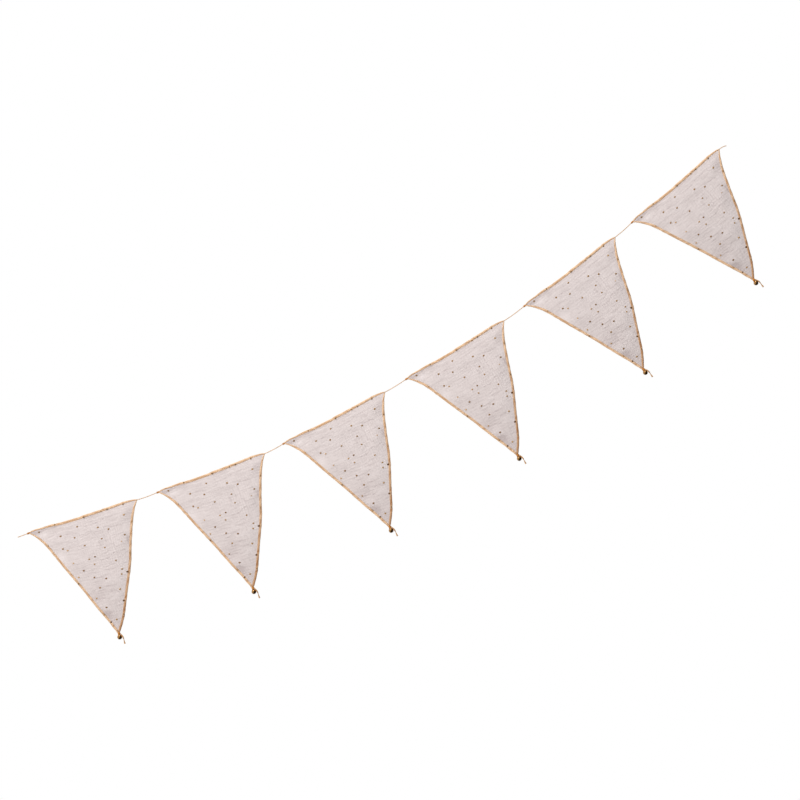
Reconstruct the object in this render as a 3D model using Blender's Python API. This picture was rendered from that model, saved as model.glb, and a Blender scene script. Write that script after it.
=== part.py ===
"""Fabric bunting: six pointed gauze flags on one thread chain, a small bell at each tip.

Metres, +Z up. The flags face -Y. The origin is the chain's upper end, and the
chain runs down to -X from there. Each flag has its own frame: across runs from its
left corner along the top, down runs towards the tip, out comes towards the viewer.
"""
import math

import bmesh
import bpy
from mathutils import Matrix, Vector

MM = 0.001

# Driving sizes, in millimetres.
CLOTH_THICK = 1.0
CLEAR = 0.3
BUTT_CLEAR = 0.4
TOP_WIDTH = 3.8
SIDE_WIDTH = 4.4
THREAD_OUTSIDE = 1.0
LIP_THICK = 0.65
LIP_TIP_SHARE = 0.6
NOSE_SHARE = 0.5
NOSE_ROUND = 0.5
STRING_DIAMETER = 1.3
TWIST_WAIST = 0.78
TAIL_DIAMETER = 1.7
BELL_DIAMETER = 8.0
BELL_WALL = 0.5
FLAG_WIDTH = 202.3

# The chain from its upper end down: each string, then the flag below it.
CHAIN = (
    # flag, string_length, string_slope_deg, string_bow, flag_slope_deg
    (6, 14.9, 26.4, 1.0, 39.6),
    (5, 43.2, 41.2, -0.7, 36.8),
    (4, 47.8, 35.9, -0.8, 30.4),
    (3, 47.5, 31.3, -0.8, 26.6),
    (2, 40.9, 27.7, -0.7, 19.5),
    (1, 42.0, 19.8, -0.7, 16.7),
)
LOWER_LENGTH = 21.8
LOWER_SLOPE = 20.2

# Centre lines of the three edgings.
TOP_EDGE = (
    # across, rise
    (0.0, 0.0),
    (5.4, 1.3),
    (22.0, 1.2),
    (41.4, 0.9),
    (58.0, -0.4),
    (77.4, -0.8),
    (92.0, -0.7),
    (106.0, 0.1),
    (128.0, 0.7),
    (149.0, 1.4),
    (164.0, 2.0),
    (179.0, 3.1),
    (189.0, 2.8),
    (202.3, 1.4),
)
LEFT_EDGE = (
    # down, across
    (0.0, 0.0),
    (8.6, 9.1),
    (15.8, 15.2),
    (30.2, 24.0),
    (51.8, 33.5),
    (73.4, 42.5),
    (102.2, 54.9),
    (131.0, 67.1),
    (159.8, 78.3),
    (188.6, 90.5),
    (216.0, 101.0),
)
RIGHT_EDGE = (
    # down, across
    (-1.4, 202.3),
    (8.6, 195.1),
    (15.8, 191.0),
    (30.2, 184.1),
    (51.8, 176.0),
    (73.4, 168.5),
    (102.2, 158.9),
    (123.8, 149.9),
    (145.4, 139.9),
    (167.0, 130.3),
    (188.6, 120.6),
    (203.0, 112.5),
    (216.0, 103.4),
)
TIP_ACROSS = 102.2
TIP_DOWN = 217.0
CLOTH_DROP = 211.0
CORNER_LEFT = 4.0
CORNER_RIGHT = 199.0

# The edgings' widths as a share of the full one: they are drawn in towards the corners.
TOP_SWELL = (
    # across, share
    (0.0, 0.50),
    (14.0, 0.56),
    (30.0, 0.78),
    (55.0, 1.0),
    (165.0, 1.0),
    (185.0, 0.78),
    (202.3, 0.50),
)
SIDE_SWELL = (
    # down, share
    (0.0, 0.50),
    (8.0, 0.66),
    (20.0, 0.94),
    (32.0, 1.0),
    (217.0, 1.0),
)

# How the cloth hangs: its crown between the edges and its lean, then its soft folds.
HANG = (
    # down, crown, lean
    (0.0, 0.6, 0.0),
    (30.0, 3.0, 1.0),
    (80.0, 4.6, 2.0),
    (130.0, 4.0, 1.0),
    (170.0, 2.4, -1.6),
    (217.0, 0.0, -5.0),
)
FOLDS = (
    # across, down, half_length, half_width, turn_deg, height
    (38.0, 34.0, 17.0, 11.0, 35.0, 2.0),
    (57.0, 76.0, 17.0, 12.0, 60.0, 2.0),
    (183.0, 12.0, 20.0, 10.0, -12.0, 1.6),
    (154.0, 62.0, 22.0, 12.0, -68.0, 2.4),
    (133.0, 118.0, 16.0, 12.0, -60.0, 1.8),
    (92.0, 166.0, 16.0, 10.0, 10.0, 1.5),
    (100.0, 22.0, 34.0, 12.0, 3.0, 1.1),
)

# Fineness of the sheet and its edgings.
COLUMNS = 10
ROWS = 13
COLUMN_CROWD = 0.55
ROW_CROWD = 1.3
TAPER_LENGTH = 3.0
TAPER_END = 0.66
TURNED_STEPS = 10
BELL_STEPS = 14
BELL_RINGS = 7
HOLLOW_STEPS = 10
HOLLOW_RINGS = 5
SHARP_ANGLE = 50.0
HALVINGS = 40

# The wraps of thread: one round the string at the left corner, one knot at the tip,
# whose mouth below takes the bell's loop.
WRAP_LENGTH = 4.0
WRAP_RADIUS = 1.2
WRAP_GROOVE = 0.98
WRAP_TURNS = 4
KNOT_ACROSS = 102.0
KNOT_TOP = 217.3
KNOT_HEIGHT = 5.0
KNOT_RADIUS = 2.1
KNOT_GROOVE = 1.75
KNOT_TURNS = 4
KNOT_LEAN = 6.0
KNOT_MOUTH_RADIUS = 1.4
KNOT_MOUTH_DEPTH = 1.2

# The bell and the loose thread beside it.
TIP_OUT = -5.0
BELL_ACROSS = 101.4
BELL_DOWN = 226.6
BELL_TURN = 50.0
LOOP_RADIUS = 0.6
LOOP_WIRE = 0.3
LOOP_RISE = 4.1
LOOP_STEPS = 8
LOOP_SIDES = 5
SLOT_WIDTH = 1.2
SLOT_HOLE_RADIUS = 1.0
SLOT_HOLE_SIDES = 8
SLOT_TOP = -0.3
TAIL_PATH = (
    # across, down, out, thickness
    (105.1, 219.8, -4.9, 0.75),
    (105.9, 222.6, -4.6, 1.0),
    (107.0, 226.1, -4.2, 1.2),
    (107.5, 229.2, -4.4, 1.1),
    (107.6, 232.2, -4.8, 0.8),
    (107.3, 235.2, -5.0, 1.0),
    (107.2, 238.2, -5.0, 1.25),
    (107.2, 240.6, -5.0, 1.3),
)


def smooth(table, x, column=1):
    """A curve through one column of a table, straight on beyond its ends."""
    last = len(table) - 1
    slopes = []
    for i in range(len(table)):
        a = table[max(i - 1, 0)]
        b = table[min(i + 1, last)]
        slopes.append((b[column] - a[column]) / (b[0] - a[0]))
    if x <= table[0][0]:
        return table[0][column] + slopes[0] * (x - table[0][0])
    if x >= table[last][0]:
        return table[last][column] + slopes[last] * (x - table[last][0])
    i = max(k for k in range(last) if table[k][0] <= x)
    span = table[i + 1][0] - table[i][0]
    t = (x - table[i][0]) / span
    start = (1 + 2 * t) * (1 - t) ** 2 * table[i][column] + t * (1 - t) ** 2 * span * slopes[i]
    end = t * t * (3 - 2 * t) * table[i + 1][column] - t * t * (1 - t) * span * slopes[i + 1]
    return start + end


def relief(across, down):
    """How far the cloth stands out of the flag's plane."""
    left = smooth(LEFT_EDGE, down)
    right = smooth(RIGHT_EDGE, down)
    share = min(max((across - left) / max(right - left, 1.0), 0.0), 1.0)
    depth = min(max(down, 0.0), TIP_DOWN)
    out = smooth(HANG, depth, 2) + smooth(HANG, depth, 1) * math.sin(math.pi * share)
    for mid_across, mid_down, length, width, turn, height in FOLDS:
        c = math.cos(math.radians(turn))
        s = math.sin(math.radians(turn))
        along = (across - mid_across) * c + (down - mid_down) * s
        aside = (down - mid_down) * c - (across - mid_across) * s
        out += height * math.exp(-0.5 * ((along / length) ** 2 + (aside / width) ** 2))
    return out


def in_flag(across, down, out):
    """A point of the flag's own frame, in metres."""
    return Vector((across, -out, -down)) * MM


def side_point(edge, inward, down, aside):
    """A point aside of a side edging's centre line, towards the cloth."""
    lean = smooth(edge, down + 0.5) - smooth(edge, down - 0.5)
    length = math.hypot(lean, 1.0)
    return smooth(edge, down) + inward * aside / length, down - inward * aside * lean / length


def top_point(across, aside):
    """A point aside of the top edging's centre line, towards the cloth."""
    lean = smooth(TOP_EDGE, across + 0.5) - smooth(TOP_EDGE, across - 0.5)
    length = math.hypot(lean, 1.0)
    return across + aside * lean / length, -smooth(TOP_EDGE, across) + aside / length


def top_width(across):
    return TOP_WIDTH * smooth(TOP_SWELL, min(max(across, 0.0), FLAG_WIDTH))


def side_width(down):
    return SIDE_WIDTH * smooth(SIDE_SWELL, min(max(down, 0.0), TIP_DOWN))


def section(width):
    """An edging's cross-section: a rounded strip with a slot that the cloth goes into."""
    half = width / 2
    slot = CLOTH_THICK / 2 + CLEAR
    crest = slot + LIP_THICK
    lip = slot + LIP_TIP_SHARE * LIP_THICK
    floor = THREAD_OUTSIDE - half
    front = [(half, lip), (NOSE_ROUND - half, crest), (-half, NOSE_SHARE * crest)]
    back = [(a, -out) for a, out in reversed(front)]
    return front + back + [(half, -slot), (floor, -slot), (floor, slot), (half, slot)]


def form_mesh(name, bm):
    """A finished mesh from a form, with its faces pointing out."""
    bmesh.ops.recalc_face_normals(bm, faces=bm.faces)
    mesh = bpy.data.meshes.new(name)
    bm.to_mesh(mesh)
    bm.free()
    return mesh


def wrapped_mesh(name, around, along, point_at):
    """A grid rolled into a tube, one ring of points for each station, with closed ends."""
    bm = bmesh.new()
    bmesh.ops.create_grid(bm, x_segments=around, y_segments=along, size=0.5)
    for vert in bm.verts:
        i = round((vert.co.x + 0.5) * around) % around
        j = round((vert.co.y + 0.5) * along)
        vert.co = point_at(i, j)
    bmesh.ops.remove_doubles(bm, verts=bm.verts, dist=1e-7)
    rims = [edge for edge in bm.edges if edge.is_boundary]
    bmesh.ops.holes_fill(bm, edges=rims, sides=0)
    return form_mesh(name, bm)


def column_share(i):
    """Columns stand closer together near the flag's sides."""
    even = i / COLUMNS
    return even - COLUMN_CROWD * math.sin(2 * math.pi * even) / (2 * math.pi)


def row_down(j):
    return CLOTH_DROP * (j / ROWS) ** ROW_CROWD


def crossing(value, low, high):
    """Where a rising function passes zero."""
    for _ in range(HALVINGS):
        middle = (low + high) / 2
        if value(middle) < 0:
            low = middle
        else:
            high = middle
    return (low + high) / 2


def cloth_mesh():
    """The panel: a sheet whose edge lies in the slots of the three edgings."""

    def into(width):
        return THREAD_OUTSIDE + CLEAR - width / 2

    def top_of(share):
        across = CORNER_LEFT + (CORNER_RIGHT - CORNER_LEFT) * share
        return Vector(top_point(across, into(top_width(across))))

    def place(i, j):
        share = column_share(i)
        if j == 0:
            return top_of(share)
        rim = into(side_width(row_down(j)))
        left = Vector(side_point(LEFT_EDGE, 1, row_down(j), rim))
        right = Vector(side_point(RIGHT_EDGE, -1, row_down(j), rim))
        wave = top_of(share) - top_of(0).lerp(top_of(1), share)
        return left.lerp(right, share) + wave * (1 - j / ROWS) ** 3

    bm = bmesh.new()
    bmesh.ops.create_grid(bm, x_segments=COLUMNS, y_segments=ROWS, size=0.5)
    for vert in bm.verts:
        i = round((vert.co.x + 0.5) * COLUMNS)
        j = round((0.5 - vert.co.y) * ROWS)
        across, down = place(i, j)
        vert.co = in_flag(across, down, relief(across, down) + CLOTH_THICK / 2)
    made = bmesh.ops.extrude_face_region(bm, geom=bm.faces[:])
    backs = [item for item in made["geom"] if isinstance(item, bmesh.types.BMVert)]
    bmesh.ops.translate(bm, verts=backs, vec=(0, CLOTH_THICK * MM, 0))
    return form_mesh("flag_cloth", bm)


def side_edging_mesh(name, edge, inward):
    """A side edging: cut to the top edging above and mitred against its twin at the tip."""
    rings = [section(side_width(row_down(min(j, ROWS)))) for j in range(ROWS + 2)]

    def over_top(aside, down):
        a, d = side_point(edge, inward, down, aside)
        return d + smooth(TOP_EDGE, a) - top_width(a) / 2 - BUTT_CLEAR

    def over_tip(aside, down):
        a, d = side_point(edge, inward, down, aside)
        return max(inward * (a - TIP_ACROSS) + CLEAR / 2, d - TIP_DOWN)

    def point_at(i, j):
        aside, out = rings[j][i]
        down = row_down(min(j, ROWS))
        if j == 0:
            down = crossing(lambda x: over_top(aside, x), -SIDE_WIDTH, row_down(1))
        if j > ROWS:
            down = crossing(lambda x: over_tip(aside, x), CLOTH_DROP, TIP_DOWN + 2 * SIDE_WIDTH)
        a, d = side_point(edge, inward, down, aside)
        return in_flag(a, d, relief(a, d) + out)

    return wrapped_mesh(name, len(rings[0]), ROWS + 1, point_at)


def top_edging_mesh():
    """The top edging, drawn in at both ends to the string's size."""
    span = CORNER_RIGHT - CORNER_LEFT
    stops = [CORNER_LEFT + span * column_share(i) for i in range(COLUMNS + 1)]
    stops = [0.0, CORNER_LEFT / 2] + stops + [(CORNER_RIGHT + FLAG_WIDTH) / 2, FLAG_WIDTH]
    rings = [section(top_width(across)) for across in stops]

    def point_at(i, j):
        across = stops[j]
        from_end = min(across, FLAG_WIDTH - across) / TAPER_LENGTH
        size = min(1.0, TAPER_END + (1 - TAPER_END) * from_end)
        aside, out = rings[j][i]
        a, d = top_point(across, aside * size)
        return in_flag(a, d, relief(a, d) + out * size)

    return wrapped_mesh("flag_top_edging", len(rings[0]), len(stops) - 1, point_at)


def turned_mesh(name, profile, steps):
    """A profile of radius and height, turned about the upright axis."""
    bm = bmesh.new()
    verts = [bm.verts.new((radius * MM, 0, height * MM)) for radius, height in profile]
    edges = [bm.edges.new(pair) for pair in zip(verts, verts[1:])]
    bmesh.ops.spin(
        bm,
        geom=verts + edges,
        axis=(0, 0, 1),
        cent=(0, 0, 0),
        angle=2 * math.pi,
        steps=steps,
        use_merge=True,
    )
    bmesh.ops.remove_doubles(bm, verts=bm.verts, dist=1e-6)
    mesh = form_mesh(name, bm)
    mesh.shade_smooth()
    mesh.set_sharp_from_angle(angle=math.radians(SHARP_ANGLE))
    return mesh


def wrap_mesh(name, length, radius, groove, turns, mouth=()):
    """Turns of thread side by side: one ridge for each turn, and a mouth below if any."""
    pitch = length / turns
    profile = [(0.0, 0.0), (groove, 0.0)]
    for turn in range(turns):
        profile.append((radius, -(turn + 0.5) * pitch))
        profile.append((groove, -(turn + 1) * pitch))
    for mouth_radius, depth in mouth:
        profile.append((mouth_radius, -length))
        profile.append((mouth_radius, depth - length))
        length -= depth
    profile.append((0.0, -length))
    return turned_mesh(name, profile, TURNED_STEPS)


def ball_mesh(radius, steps, rings):
    """A round ball, turned from a half circle."""
    profile = []
    for k in range(rings + 1):
        angle = math.pi * k / rings
        profile.append((radius * math.sin(angle), radius * math.cos(angle)))
    return turned_mesh("ball", profile, steps)


def loop_form():
    """The bell's wire loop, standing on its crown."""
    bm = bmesh.new()
    bmesh.ops.create_circle(bm, segments=LOOP_SIDES, radius=LOOP_WIRE * MM)
    bmesh.ops.translate(bm, verts=bm.verts, vec=(LOOP_RADIUS * MM, 0, 0))
    bmesh.ops.spin(
        bm,
        geom=bm.verts[:] + bm.edges[:],
        axis=(0, 1, 0),
        cent=(0, 0, 0),
        angle=2 * math.pi,
        steps=LOOP_STEPS,
        use_merge=True,
    )
    bmesh.ops.translate(bm, verts=bm.verts, vec=(0, 0, LOOP_RISE * MM))
    return bm


def slot_form():
    """The bell's slot, a thin cut under its belly."""
    bm = bmesh.new()
    reach = BELL_DIAMETER
    size = Matrix.Diagonal((reach * MM, SLOT_WIDTH * MM, reach * MM, 1))
    low = Matrix.Translation((0, 0, (SLOT_TOP - reach / 2) * MM))
    bmesh.ops.create_cube(bm, size=1, matrix=low @ size)
    return bm


def hole_form():
    """The round holes at the slot's two ends, as one bore across the bell."""
    bm = bmesh.new()
    across = Matrix.Rotation(math.pi / 2, 4, "Y")
    bmesh.ops.create_cone(
        bm,
        cap_ends=True,
        segments=SLOT_HOLE_SIDES,
        radius1=SLOT_HOLE_RADIUS * MM,
        radius2=SLOT_HOLE_RADIUS * MM,
        depth=2 * BELL_DIAMETER * MM,
        matrix=Matrix.Translation((0, 0, SLOT_TOP * MM)) @ across,
    )
    return bm


def as_object(name, data):
    """An object in the scene for a mesh, a curve or, for a frame, nothing."""
    piece = bpy.data.objects.new(name, data)
    bpy.context.collection.objects.link(piece)
    return piece


def bell_mesh():
    """A hollow round bell: a thin shell with a loop on top and a slot below."""
    radius = BELL_DIAMETER / 2
    shell = as_object("shell", ball_mesh(radius, BELL_STEPS, BELL_RINGS))
    tools = (
        ("UNION", as_object("loop", form_mesh("loop", loop_form()))),
        ("DIFFERENCE", as_object("hollow", ball_mesh(radius - BELL_WALL, HOLLOW_STEPS, HOLLOW_RINGS))),
        ("DIFFERENCE", as_object("slot", form_mesh("slot", slot_form()))),
        ("DIFFERENCE", as_object("hole", form_mesh("hole", hole_form()))),
    )
    for operation, tool in tools:
        cut = shell.modifiers.new(tool.name, "BOOLEAN")
        cut.operation = operation
        cut.solver = "EXACT"
        cut.object = tool
    bpy.context.view_layer.update()
    made = bpy.data.meshes.new_from_object(shell.evaluated_get(bpy.context.evaluated_depsgraph_get()))
    made.name = "bell"
    for helper in [shell] + [tool for _, tool in tools]:
        bpy.data.objects.remove(helper)
    made.set_sharp_from_angle(angle=math.radians(SHARP_ANGLE))
    return made


def thread_curve(name, points, diameter):
    """A thread along points with a thickness each, as a tube with closed ends."""
    curve = bpy.data.curves.new(name, "CURVE")
    curve.dimensions = "3D"
    curve.bevel_depth = diameter / 2 * MM
    curve.bevel_resolution = 2
    curve.use_fill_caps = True
    spline = curve.splines.new("POLY")
    spline.points.add(len(points) - 1)
    for knot, (place, thickness) in zip(spline.points, points):
        knot.co = (*place, 1)
        knot.radius = thickness
    return curve


def tail_curve():
    """The loose end of the side edgings' thread, beside the bell."""
    points = [(in_flag(a, d, out), thickness) for a, d, out, thickness in TAIL_PATH]
    return thread_curve("bell_thread", points, TAIL_DIAMETER)


def string_curve(name, start, end, bow):
    """A twisted string between two points, as a row of lumps with a slight bow."""
    run = end - start
    steps = 2 * max(3, round(run.length / (4 * STRING_DIAMETER * MM)))
    upward = Vector((-run.z, 0, run.x)).normalized()
    points = []
    for k in range(steps + 1):
        share = k / steps
        rise = 4 * bow * MM * share * (1 - share)
        thickness = 1.0 if k % 2 else TWIST_WAIST
        points.append((start + run * share + upward * rise, thickness))
    return thread_curve(name, points, STRING_DIAMETER)


def material(name, colour, roughness, metallic=0.0):
    """A plain finish."""
    finish = bpy.data.materials.new(name)
    finish.use_nodes = True
    shader = finish.node_tree.nodes["Principled BSDF"]
    shader.inputs["Base Color"].default_value = (*colour, 1)
    shader.inputs["Roughness"].default_value = roughness
    shader.inputs["Metallic"].default_value = metallic
    return finish


def step(length, slope):
    """A step up the chain, in the plane of the flags."""
    angle = math.radians(slope)
    return Vector((math.cos(angle), 0, math.sin(angle))) * length * MM


def clear_scene():
    for item in list(bpy.data.objects):
        bpy.data.objects.remove(item)


def hang_flag(number, corner, slope, pieces):
    """One flag: its pieces on an empty at the flag's left corner."""
    holder = as_object(f"flag_{number}_frame", None)
    holder.location = corner
    holder.rotation_euler = (0, -math.radians(slope), 0)
    for word, data, place in pieces:
        piece = as_object(f"flag_{number}_{word}", data)
        piece.parent = holder
        piece.matrix_local = place


def hang_wrap(number, corner, slope, data):
    """The wrap round the string, just below a flag's left corner."""
    wrap = as_object(f"flag_{number}_corner_wrap", data)
    wrap.location = corner - step(CLEAR, slope)
    wrap.rotation_euler = (0, math.radians(90 - slope), 0)


def build():
    """The whole bunting, from the chain's upper end down."""
    clear_scene()
    gauze = material("gauze", (0.73, 0.65, 0.64), 0.9)
    tan_thread = material("tan_thread", (0.72, 0.46, 0.24), 0.75)
    dark_thread = material("dark_thread", (0.42, 0.18, 0.06), 0.7)
    brass = material("brass", (0.80, 0.55, 0.22), 0.25, 1.0)
    at_corner = Matrix.Identity(4)
    at_knot = Matrix.Translation(in_flag(KNOT_ACROSS, KNOT_TOP, TIP_OUT))
    at_knot = at_knot @ Matrix.Rotation(math.radians(KNOT_LEAN), 4, "Y")
    at_bell = Matrix.Translation(in_flag(BELL_ACROSS, BELL_DOWN, TIP_OUT))
    at_bell = at_bell @ Matrix.Rotation(math.radians(BELL_TURN - 90), 4, "Z")
    mouth = ((KNOT_MOUTH_RADIUS, KNOT_MOUTH_DEPTH),)
    knot = wrap_mesh("tip_knot", KNOT_HEIGHT, KNOT_RADIUS, KNOT_GROOVE, KNOT_TURNS, mouth)
    wrap = wrap_mesh("corner_wrap", WRAP_LENGTH, WRAP_RADIUS, WRAP_GROOVE, WRAP_TURNS)
    wrap.materials.append(dark_thread)
    made = (
        ("cloth", cloth_mesh(), at_corner, gauze),
        ("top_edging", top_edging_mesh(), at_corner, tan_thread),
        ("left_edging", side_edging_mesh("flag_left_edging", LEFT_EDGE, 1), at_corner, tan_thread),
        ("right_edging", side_edging_mesh("flag_right_edging", RIGHT_EDGE, -1), at_corner, tan_thread),
        ("knot", knot, at_knot, dark_thread),
        ("bell", bell_mesh(), at_bell, brass),
        ("bell_thread", tail_curve(), at_corner, tan_thread),
    )
    pieces = []
    for word, data, place, finish in made:
        data.materials.append(finish)
        pieces.append((word, data, place))

    rise = TOP_EDGE[-1][1]
    flag_reach = math.hypot(rise, FLAG_WIDTH)
    flag_turn = math.degrees(math.atan2(rise, FLAG_WIDTH))
    top_number = CHAIN[0][0]
    left_corner = None
    left_end = Vector((0, 0, 0))
    for k, (number, length, slope, bow, flag_slope) in enumerate(CHAIN):
        upper = "upper_end" if number == top_number else f"{number}_{number + 1}"
        hang_point = left_end if left_corner is None else left_corner
        right_corner = hang_point - step(length, slope)
        run_start = right_corner + step(CLEAR, slope)
        string = as_object(f"string_{upper}", string_curve(upper, run_start, left_end, bow))
        string.data.materials.append(tan_thread)
        left_corner = right_corner - step(flag_reach, flag_slope + flag_turn)
        hang_flag(number, left_corner, flag_slope, pieces)
        below = CHAIN[k + 1][2] if k + 1 < len(CHAIN) else LOWER_SLOPE
        hang_wrap(number, left_corner, below, wrap)
        left_end = left_corner - step(WRAP_LENGTH + 2 * CLEAR, below)
    lower = left_corner - step(LOWER_LENGTH, LOWER_SLOPE)
    string = as_object("string_lower_end", string_curve("lower_end", lower, left_end, 0.0))
    string.data.materials.append(tan_thread)


build()
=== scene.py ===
"""Fabric bunting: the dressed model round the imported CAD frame.

Metres, +Z up, the flags face -Y. Sizes in the tables are in millimetres, in each
flag's own frame: across runs from its left corner along the top, down runs towards
the tip, and out comes towards the viewer.
"""

import math

import bmesh
import bpy
from mathutils import Matrix, Vector, noise


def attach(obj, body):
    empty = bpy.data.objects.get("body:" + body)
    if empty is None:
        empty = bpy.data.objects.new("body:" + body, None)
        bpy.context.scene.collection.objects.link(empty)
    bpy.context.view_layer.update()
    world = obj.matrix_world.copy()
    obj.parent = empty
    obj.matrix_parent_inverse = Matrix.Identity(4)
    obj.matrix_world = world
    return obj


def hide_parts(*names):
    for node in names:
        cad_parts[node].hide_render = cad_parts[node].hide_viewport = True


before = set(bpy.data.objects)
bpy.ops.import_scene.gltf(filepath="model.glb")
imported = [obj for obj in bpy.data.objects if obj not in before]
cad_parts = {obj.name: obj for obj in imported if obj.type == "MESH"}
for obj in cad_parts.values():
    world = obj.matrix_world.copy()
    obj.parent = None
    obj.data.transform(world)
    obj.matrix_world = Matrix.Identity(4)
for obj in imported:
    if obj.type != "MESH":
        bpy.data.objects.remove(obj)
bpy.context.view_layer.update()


# The view and the studio. The camera stands face on to the bunting. A large soft lamp
# hangs at the upper left, with a weak one in front. The room is bright above and behind
# the flags and dim at the lower right, and its pale floor lies below the view.

MM = 0.001
VIEW_MIDDLE = Vector((-0.5875, 0.0, -0.4577))
VIEW_DISTANCE = 4.0
LENS = 100.0
LAMP_PLACE = Vector((-4.4, -4.4, 5.5))
LAMP_SIZE = 3.5
LAMP_POWER = 488.0
FILL_PLACE = Vector((0.95, -2.3, 0.2))
FILL_SIZE = 1.0
FILL_POWER = 10.0
FLOOR_DROP = 1.12
FLOOR_FORWARD = 0.3
FLOOR_SIZE = 4.0

bpy.context.scene.view_settings.view_transform = "Standard"
camera = bpy.data.objects.new("camera", bpy.data.cameras.new("camera"))
camera.data.lens = LENS
camera.location = VIEW_MIDDLE + Vector((0, -VIEW_DISTANCE, 0))
camera.rotation_euler = (math.pi / 2, 0, 0)
bpy.context.scene.collection.objects.link(camera)
bpy.context.scene.camera = camera


def hang_lamp(name, place, size, power):
    """A square soft lamp that looks at the middle of the bunting and isn't mirrored."""
    lamp = bpy.data.objects.new(name, bpy.data.lights.new(name, "AREA"))
    lamp.data.size = size
    lamp.data.energy = power
    lamp.location = VIEW_MIDDLE + place
    lamp.rotation_euler = (-place).to_track_quat("-Z", "Y").to_euler()
    lamp.visible_glossy = False
    bpy.context.scene.collection.objects.link(lamp)


hang_lamp("main_lamp", LAMP_PLACE, LAMP_SIZE, LAMP_POWER)
hang_lamp("fill_lamp", FILL_PLACE, FILL_SIZE, FILL_POWER)


class Wire:
    """A value in a finish, on which Python's operators add Math nodes."""

    def __init__(self, finish, socket):
        self.finish = finish
        self.socket = socket

    def math(self, operation, first, second=0.0):
        return self.finish.node("ShaderNodeMath", {"operation": operation}, {0: first, 1: second})

    def __add__(self, other):
        return self.math("ADD", self, other)

    def __radd__(self, other):
        return self.math("ADD", other, self)

    def __sub__(self, other):
        return self.math("SUBTRACT", self, other)

    def __rsub__(self, other):
        return self.math("SUBTRACT", other, self)

    def __mul__(self, other):
        return self.math("MULTIPLY", self, other)

    def __rmul__(self, other):
        return self.math("MULTIPLY", other, self)

    def sine(self):
        return self.math("SINE", self)


class Finish:
    """A node tree in the making: every node comes from node()."""

    def __init__(self, tree):
        self.tree = tree

    def node(self, kind, settings, values, output=0):
        made = self.tree.nodes.new(kind)
        for name, value in settings.items():
            if name == "stops":
                self.set_stops(made.color_ramp.elements, value)
            else:
                setattr(made, name, value)
        for key, value in values.items():
            if isinstance(value, Wire):
                self.tree.links.new(value.socket, made.inputs[key])
            else:
                made.inputs[key].default_value = value
        return Wire(self, made.outputs[output])

    def set_stops(self, stops, values):
        """The ramp's two end stops, then those between them."""
        for k, (position, colour) in enumerate(values):
            stop = stops[k] if k < 2 else stops.new(position)
            stop.position = position
            stop.color = colour

    def feed(self, node, values):
        for key, wire in values.items():
            self.tree.links.new(wire.socket, node.inputs[key])


ROOM_BRIGHT = 1.35
ROOM_DIM = 0.03
ROOM_MIRRORED = 0.38
ROOM_TURN = Vector((-0.50, 0.22, 0.84))
MIRRORED_TURN = Vector((-0.95, -0.06, 0.30))
BACK_FROM = Vector((0, 1, 0))
BACK_MIRRORED = 0.4
GLINT_FROM = Vector((-0.30, -0.27, 0.91))
GLINT_BRIGHT = 5.0

world = bpy.data.worlds.new("studio")
world.use_nodes = True
bpy.context.scene.world = world
room = Finish(world.node_tree)
backdrop = world.node_tree.nodes["Background"]
direction = room.node("ShaderNodeTexCoord", {}, {}, "Generated")
seen = room.node("ShaderNodeLightPath", {}, {}, "Is Camera Ray")
mirrored = room.node("ShaderNodeLightPath", {}, {}, "Is Glossy Ray")


def glow(side, edge, full, dim, bright, blend):
    """A soft round patch of light on one side of the room."""
    facing = {0: direction, 1: side}
    towards = room.node("ShaderNodeVectorMath", {"operation": "DOT_PRODUCT"}, facing, "Value")
    return room.node(
        "ShaderNodeMapRange",
        {"interpolation_type": blend},
        {"Value": towards, "From Min": edge, "From Max": full, "To Min": dim, "To Max": bright},
    )


bright_side = room.node(
    "ShaderNodeMix",
    {"data_type": "VECTOR"},
    {0: mirrored, 4: ROOM_TURN, 5: MIRRORED_TURN},
    1,
)
around_it = glow(bright_side, -0.35, 0.85, ROOM_DIM, ROOM_BRIGHT, "SMOOTHSTEP")
back = glow(BACK_FROM, 0.5, 0.95, 0.0, BACK_MIRRORED, "LINEAR")
glint = glow(GLINT_FROM, 0.965, 0.99, 0.0, GLINT_BRIGHT, "LINEAR")
lit = around_it * (1 - mirrored * (1 - ROOM_MIRRORED)) + mirrored * (back + glint)
room.feed(backdrop, {"Strength": seen + (1 - seen) * lit})
backdrop.inputs["Color"].default_value = (1, 1, 1, 1)

pale_floor = bpy.data.materials.new("pale_floor")
pale_floor.use_nodes = True
floor_paint = Finish(pale_floor.node_tree)
floor_spots = floor_paint.node("ShaderNodeTexNoise", {}, {"Scale": 3.0, "Detail": 3.0})
floor_shader = pale_floor.node_tree.nodes["Principled BSDF"]
floor_shader.inputs["Roughness"].default_value = 0.8
floor_tone = floor_paint.node(
    "ShaderNodeMix",
    {"data_type": "RGBA"},
    {0: floor_spots, 6: (0.80, 0.79, 0.78, 1), 7: (0.84, 0.83, 0.82, 1)},
    2,
)
floor_paint.feed(floor_shader, {"Base Color": floor_tone})
floor_form = bmesh.new()
bmesh.ops.create_grid(floor_form, x_segments=1, y_segments=1, size=FLOOR_SIZE / 2)
floor_middle = VIEW_MIDDLE + Vector((0, -FLOOR_FORWARD, -FLOOR_DROP))
bmesh.ops.translate(floor_form, verts=floor_form.verts, vec=floor_middle)
floor_mesh = bpy.data.meshes.new("floor")
floor_form.to_mesh(floor_mesh)
floor_form.free()
floor = bpy.data.objects.new("floor", floor_mesh)
floor.data.materials.append(pale_floor)
floor.visible_glossy = False
bpy.context.scene.collection.objects.link(floor)


# The string: the covering thread of the edges runs on from flag to flag as a two-ply
# cord of golden tan cotton. It hangs almost straight between the flags, with a free
# end at the top right and one at the bottom left.

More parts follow.
